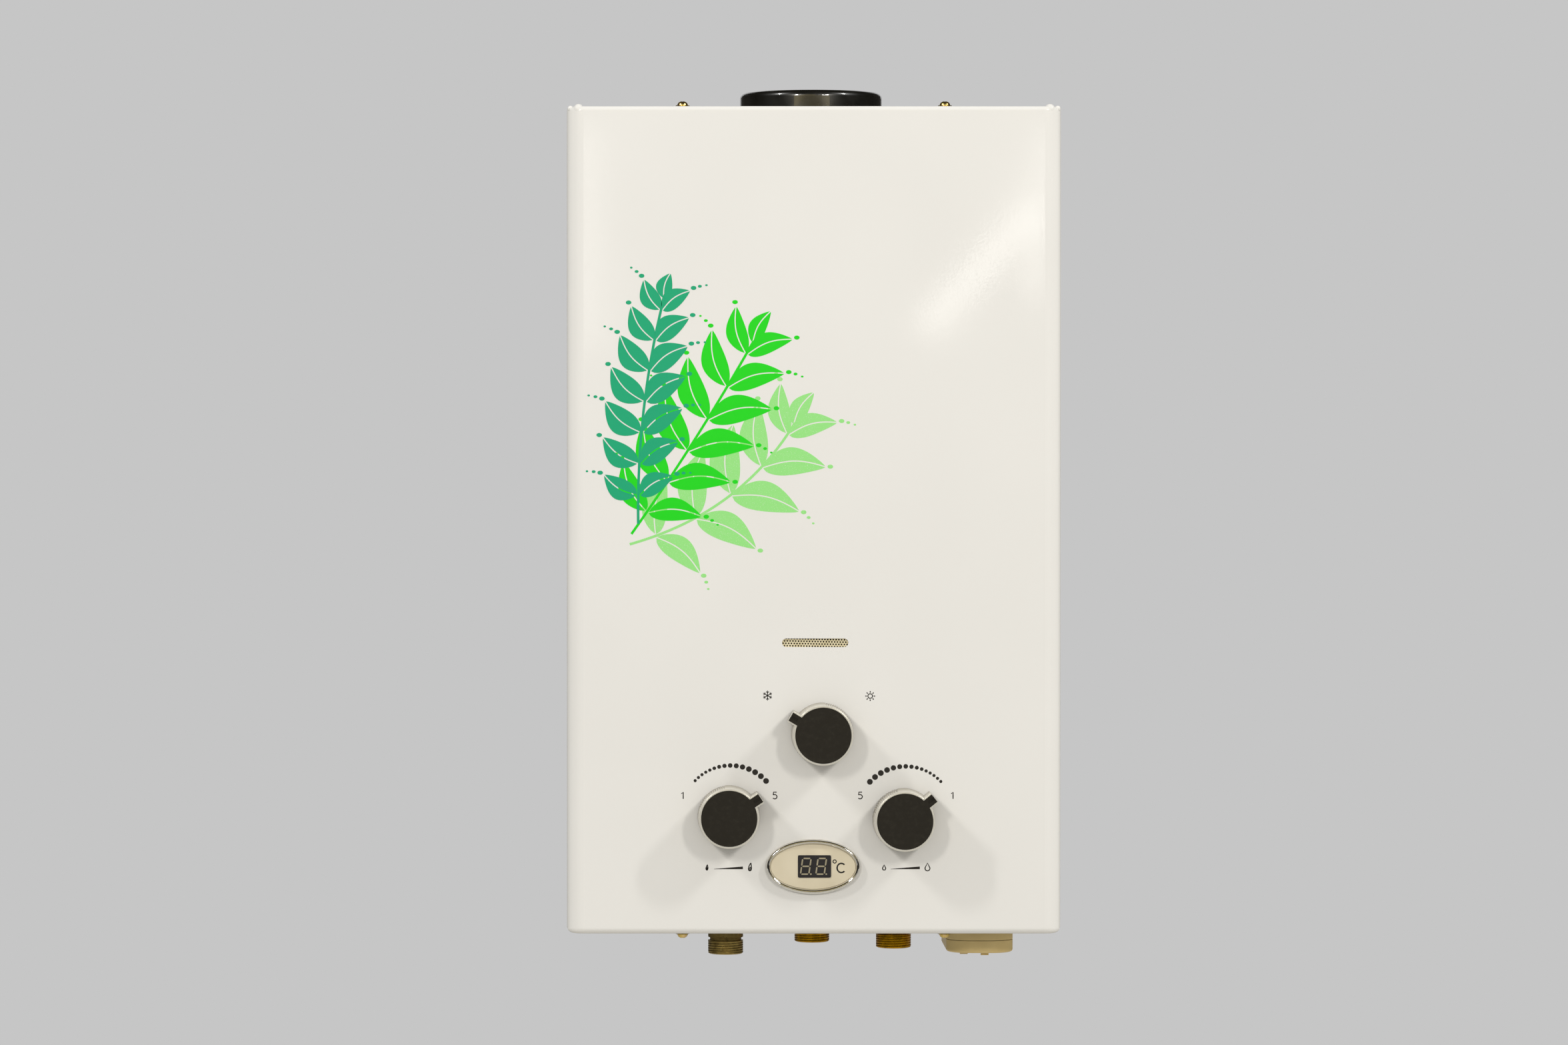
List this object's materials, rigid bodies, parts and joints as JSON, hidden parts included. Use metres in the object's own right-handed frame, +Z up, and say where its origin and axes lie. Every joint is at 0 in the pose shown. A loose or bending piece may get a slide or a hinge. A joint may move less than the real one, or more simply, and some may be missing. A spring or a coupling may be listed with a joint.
{
  "type": "gas water heater",
  "caption": "Wall-hung gas water heater with an open flue, rotary controls, an oval digital display, a flame window and a battery holder below.",
  "frame": {"origin": "on the wall plane at the back plate, at the middle of the casing's width and height", "axes": "+X to the right seen from the front, +Y into the wall, +Z up"},
  "size_m": [0.29, 0.16, 0.5144],
  "materials": {
    "white_enamel": "glossy off-white powder coat",
    "galvanised_steel": "galvanised sheet",
    "yellow_zinc_steel": "yellow zinc plate",
    "cream_enamel": "cream perforated sheet",
    "black_enamel": "glossy black enamel",
    "fibre_seal": "pressed fibre",
    "copper": "soldered copper",
    "stainless_steel": "stainless sheet",
    "cast_aluminium": "die-cast, as cast",
    "brass": "machined",
    "dull_brass": "tarnished, plated",
    "black_rubber": "moulded",
    "zinc_steel": "clear zinc plate",
    "spring_steel": "bright wire and strip",
    "black_plastic": "moulded",
    "ceramic_white": "unglazed",
    "lead_insulation": "silicone sleeve",
    "beige_plastic": "satin beige",
    "cell_metal": "wrapped cell",
    "chrome_trim": "bright chrome plate",
    "satin_beige_plastic": "satin",
    "dark_display": "dark filter",
    "green_board": "solder mask",
    "silver_plastic": "metallised plastic",
    "knob_black": "satin black"
  },
  "bodies": {
    "root": {"battery_box": "beige_plastic", "battery_cells": "cell_metal", "battery_contacts": "spring_steel", "burner_bars": "stainless_steel", "burner_frame": "stainless_steel", "chamber_coil": "copper", "chamber_shell": "copper", "chassis": "galvanised_steel", "clamp_screws": "zinc_steel", "cold_inlet_nipple": "brass", "cold_pipe": "copper", "cover_screws": "yellow_zinc_steel", "diaphragm": "black_rubber", "diaphragm_cover": "brass", "digit_module": "dark_display", "display_bezel": "chrome_trim", "display_board": "green_board", "display_plate": "satin_beige_plastic", "draft_hood": "galvanised_steel", "electrode_bracket": "zinc_steel", "electrode_leads": "lead_insulation", "exchanger_fins": "copper", "exchanger_tubes": "copper", "flame_sensor": "ceramic_white", "flow_switch": "black_plastic", "flue_collar": "black_enamel", "flue_gasket": "fibre_seal", "front_cover": "white_enamel", "gas_inlet_nipple": "dull_brass", "gas_jets": "brass", "gas_manifold": "cast_aluminium", "gas_riser": "cast_aluminium", "gas_valve_body": "cast_aluminium", "hinge_pin": "zinc_steel", "hot_outlet_nipple": "brass", "hot_pipe": "copper", "ignition_controller": "black_plastic", "poppet_spring": "spring_steel", "signal_leads": "lead_insulation", "solenoid_valve": "zinc_steel", "spark_electrode": "ceramic_white", "temperature_sensor": "zinc_steel", "union_nuts": "brass", "viewing_mesh": "cream_enamel", "water_valve_body": "brass"},
    "season_control": {"season_knob": "silver_plastic", "season_knob_cap": "knob_black", "season_spindle": "brass"},
    "gas_control": {"gas_knob": "silver_plastic", "gas_knob_cap": "knob_black", "gas_spindle": "brass"},
    "water_control": {"water_knob": "silver_plastic", "water_knob_cap": "knob_black", "water_spindle": "brass"},
    "battery_flap": {"battery_door": "beige_plastic", "door_contact": "spring_steel"},
    "rod": {"push_rod": "brass", "gas_poppet": "black_rubber"},
    "lever": {"switch_lever": "spring_steel"},
    "plunger": {"solenoid_plunger": "zinc_steel"}
  },
  "joints": [
    {"name": "season_knob_turn", "type": "hinge", "parent": "root", "child": "season_control", "pos_m": [0.0048, -0.1408, -0.125], "axis": [0, 1, 0], "range_deg": [0, 110]},
    {"name": "gas_knob_turn", "type": "hinge", "parent": "root", "child": "gas_control", "pos_m": [-0.05, -0.1408, -0.1734], "axis": [0, 1, 0], "range_deg": [-113, 0]},
    {"name": "water_knob_turn", "type": "hinge", "parent": "root", "child": "water_control", "pos_m": [0.0524, -0.1408, -0.1751], "axis": [0, 1, 0], "range_deg": [-110, 0]},
    {"name": "battery_door_hinge", "type": "hinge", "parent": "root", "child": "battery_flap", "pos_m": [0.0995, -0.0314, -0.2494], "axis": [1, 0, 0], "range_deg": [0, 95]},
    {"name": "push_rod_slide", "type": "slide", "parent": "root", "child": "rod", "axis": [-1, 0, 0], "range_m": [0, 0.003], "stiffness_N_per_m": 300, "springref_m": -0.002, "deforming": ["poppet_spring"]},
    {"name": "switch_lever_turn", "type": "hinge", "parent": "root", "child": "lever", "pos_m": [0.015, -0.075, -0.1635], "axis": [0, 1, 0], "range_deg": [-9, 0]},
    {"name": "solenoid_plunger_slide", "type": "slide", "parent": "root", "child": "plunger", "axis": [-1, 0, 0], "range_m": [0, 0.0025], "stiffness_N_per_m": 200, "springref_m": -0.002}
  ],
  "couplings": [
    {"joint": "switch_lever_turn", "follows": "push_rod_slide", "rad_per_m": -47.1}
  ]
}
